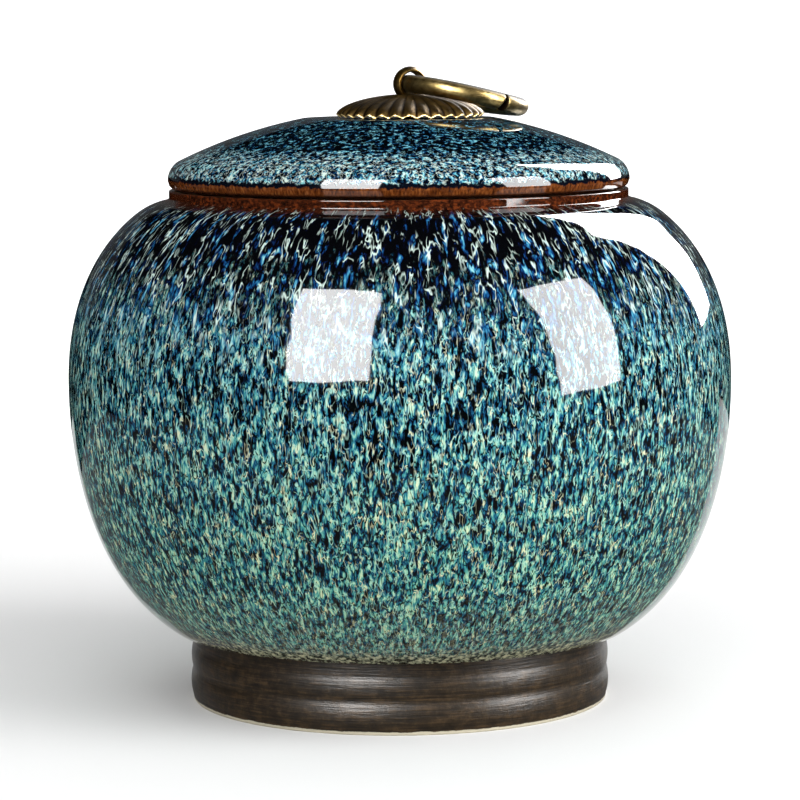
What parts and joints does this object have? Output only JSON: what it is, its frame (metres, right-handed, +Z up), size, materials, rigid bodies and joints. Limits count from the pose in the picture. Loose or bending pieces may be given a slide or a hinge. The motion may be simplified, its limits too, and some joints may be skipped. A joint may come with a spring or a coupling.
{
  "type": "funeral urn",
  "caption": "Round glazed stoneware funeral urn on a ridged foot, with a domed lift-off lid and a brass ring pull on a fluted rosette.",
  "frame": {"origin": "middle of the foot's underside, on the jar's axis", "axes": "+Z up the jar's axis, -Y towards the side that faces the viewer, +X the side that the ring lies over to"},
  "size_m": [0.18, 0.18, 0.1719],
  "materials": {
    "jar_glaze": "glossy flowing blue-green glaze over black, brown where it breaks at the lip, bare dark slip on the foot",
    "lid_glaze": "the jar's glaze, paler towards a brown rim; unglazed clay on the seat and flange",
    "rosette_brass": "pressed brass with a dark patina in the flutes, rubbed bright on the scalloped edge",
    "eye_brass": "brass strip, darkened, with bright edges",
    "ring_brass": "satin brass wire, darker at its butt joint"
  },
  "bodies": {
    "urn": {"jar": "jar_glaze", "lid": "lid_glaze", "rosette": "rosette_brass", "eye": "eye_brass"},
    "pull_ring": {"ring": "ring_brass"}
  },
  "joints": [
    {"name": "ring_swing", "type": "hinge", "parent": "urn", "child": "pull_ring", "pos_m": [0.0032, 0, 0.16718], "axis": [0.3746, -0.9272, 0], "range_deg": [0, 205]}
  ]
}
